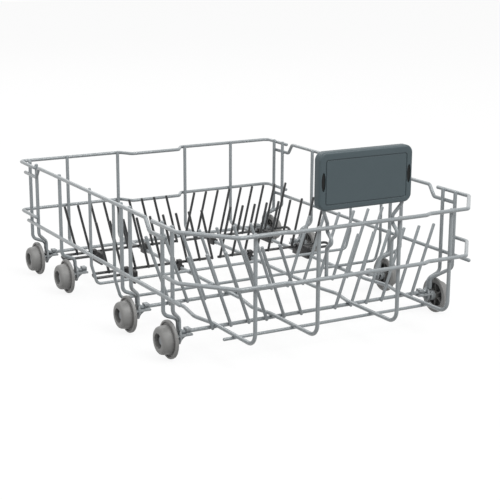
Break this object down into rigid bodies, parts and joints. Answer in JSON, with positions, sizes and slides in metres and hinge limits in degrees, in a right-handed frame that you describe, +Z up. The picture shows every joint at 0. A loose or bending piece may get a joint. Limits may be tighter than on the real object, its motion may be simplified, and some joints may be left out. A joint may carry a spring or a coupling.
{
  "type": "dishwasher basket",
  "caption": "Lower dishwasher basket of coated wire on flanged wheels, with fixed and folding plate tines and a covered pull handle on its front wall.",
  "frame": {"origin": "on the floor that the wheels stand on, below the middle of the overall box", "axes": "+X to the basket's right seen from its front, +Y from the handle to the back, +Z up"},
  "size_m": [0.3878, 0.5342, 0.2333],
  "materials": {
    "coated_wire": "satin nylon coat",
    "dark_wire": "satin nylon coat",
    "wheel_plastic": "moulded, fine matt",
    "clip_plastic": "moulded, fine matt",
    "handle_plastic": "moulded, fine grain"
  },
  "bodies": {
    "basket": {"back_top_rail": "coated_wire", "back_mid_rail": "coated_wire", "front_top_rail": "coated_wire", "front_low_rail": "coated_wire", "long_floor_wire_1": "coated_wire", "long_floor_wire_2": "coated_wire", "long_floor_wire_3": "coated_wire", "long_floor_wire_4": "coated_wire", "cross_floor_wire_rear": "coated_wire", "cross_floor_wire_front": "coated_wire", "front_cross_wire": "coated_wire", "axle_wire_rear": "coated_wire", "axle_wire_middle": "coated_wire", "axle_wire_front": "coated_wire", "fixed_tines_middle": "coated_wire", "fixed_tines_front": "coated_wire", "side_top_rail_left": "coated_wire", "side_low_rail_left": "coated_wire", "wheel_wire_left": "coated_wire", "side_stays_left": "coated_wire", "wheel_holder_left_1": "wheel_plastic", "wheel_holder_left_2": "wheel_plastic", "wheel_holder_left_3": "wheel_plastic", "wheel_holder_left_4": "wheel_plastic", "rack_clips_rear_left": "clip_plastic", "rack_clips_second_left": "clip_plastic", "side_top_rail_right": "coated_wire", "side_low_rail_right": "coated_wire", "wheel_wire_right": "coated_wire", "side_stays_right": "coated_wire", "wheel_holder_right_1": "wheel_plastic", "wheel_holder_right_2": "wheel_plastic", "wheel_holder_right_3": "wheel_plastic", "wheel_holder_right_4": "wheel_plastic", "rack_clips_rear_right": "clip_plastic", "rack_clips_second_right": "clip_plastic", "handle_wire": "coated_wire", "handle_cover": "handle_plastic", "handle_back": "handle_plastic"},
    "wheel_left_1": {"wheel_left_1": "wheel_plastic"},
    "wheel_left_2": {"wheel_left_2": "wheel_plastic"},
    "wheel_left_3": {"wheel_left_3": "wheel_plastic"},
    "wheel_left_4": {"wheel_left_4": "wheel_plastic"},
    "tine_rack_rear_left": {"tine_rack_rear_left": "dark_wire"},
    "tine_rack_second_left": {"tine_rack_second_left": "dark_wire"},
    "wheel_right_1": {"wheel_right_1": "wheel_plastic"},
    "wheel_right_2": {"wheel_right_2": "wheel_plastic"},
    "wheel_right_3": {"wheel_right_3": "wheel_plastic"},
    "wheel_right_4": {"wheel_right_4": "wheel_plastic"},
    "tine_rack_rear_right": {"tine_rack_rear_right": "dark_wire"},
    "tine_rack_second_right": {"tine_rack_second_right": "dark_wire"}
  },
  "joints": [
    {"name": "wheel_left_1_spin", "type": "hinge", "parent": "basket", "child": "wheel_left_1", "pos_m": [-0.186, 0.23903, 0.02175], "axis": [1, 0, 0], "continuous": true},
    {"name": "wheel_left_2_spin", "type": "hinge", "parent": "basket", "child": "wheel_left_2", "pos_m": [-0.186, 0.13503, 0.02175], "axis": [1, 0, 0], "continuous": true},
    {"name": "wheel_left_3_spin", "type": "hinge", "parent": "basket", "child": "wheel_left_3", "pos_m": [-0.186, -0.05247, 0.02175], "axis": [1, 0, 0], "continuous": true},
    {"name": "wheel_left_4_spin", "type": "hinge", "parent": "basket", "child": "wheel_left_4", "pos_m": [-0.186, -0.15867, 0.02175], "axis": [1, 0, 0], "continuous": true},
    {"name": "tine_rack_rear_left_fold", "type": "hinge", "parent": "basket", "child": "tine_rack_rear_left", "pos_m": [-0.088, 0.17553, 0.0384], "axis": [-1, 0, 0], "range_deg": [0, 85]},
    {"name": "tine_rack_second_left_fold", "type": "hinge", "parent": "basket", "child": "tine_rack_second_left", "pos_m": [-0.088, 0.07303, 0.0384], "axis": [-1, 0, 0], "range_deg": [0, 85]},
    {"name": "wheel_right_1_spin", "type": "hinge", "parent": "basket", "child": "wheel_right_1", "pos_m": [0.186, 0.23903, 0.02175], "axis": [1, 0, 0], "continuous": true},
    {"name": "wheel_right_2_spin", "type": "hinge", "parent": "basket", "child": "wheel_right_2", "pos_m": [0.186, 0.13503, 0.02175], "axis": [1, 0, 0], "continuous": true},
    {"name": "wheel_right_3_spin", "type": "hinge", "parent": "basket", "child": "wheel_right_3", "pos_m": [0.186, -0.05247, 0.02175], "axis": [1, 0, 0], "continuous": true},
    {"name": "wheel_right_4_spin", "type": "hinge", "parent": "basket", "child": "wheel_right_4", "pos_m": [0.186, -0.15867, 0.02175], "axis": [1, 0, 0], "continuous": true},
    {"name": "tine_rack_rear_right_fold", "type": "hinge", "parent": "basket", "child": "tine_rack_rear_right", "pos_m": [0.088, 0.17553, 0.0384], "axis": [-1, 0, 0], "range_deg": [0, 85]},
    {"name": "tine_rack_second_right_fold", "type": "hinge", "parent": "basket", "child": "tine_rack_second_right", "pos_m": [0.088, 0.07303, 0.0384], "axis": [-1, 0, 0], "range_deg": [0, 85]}
  ]
}
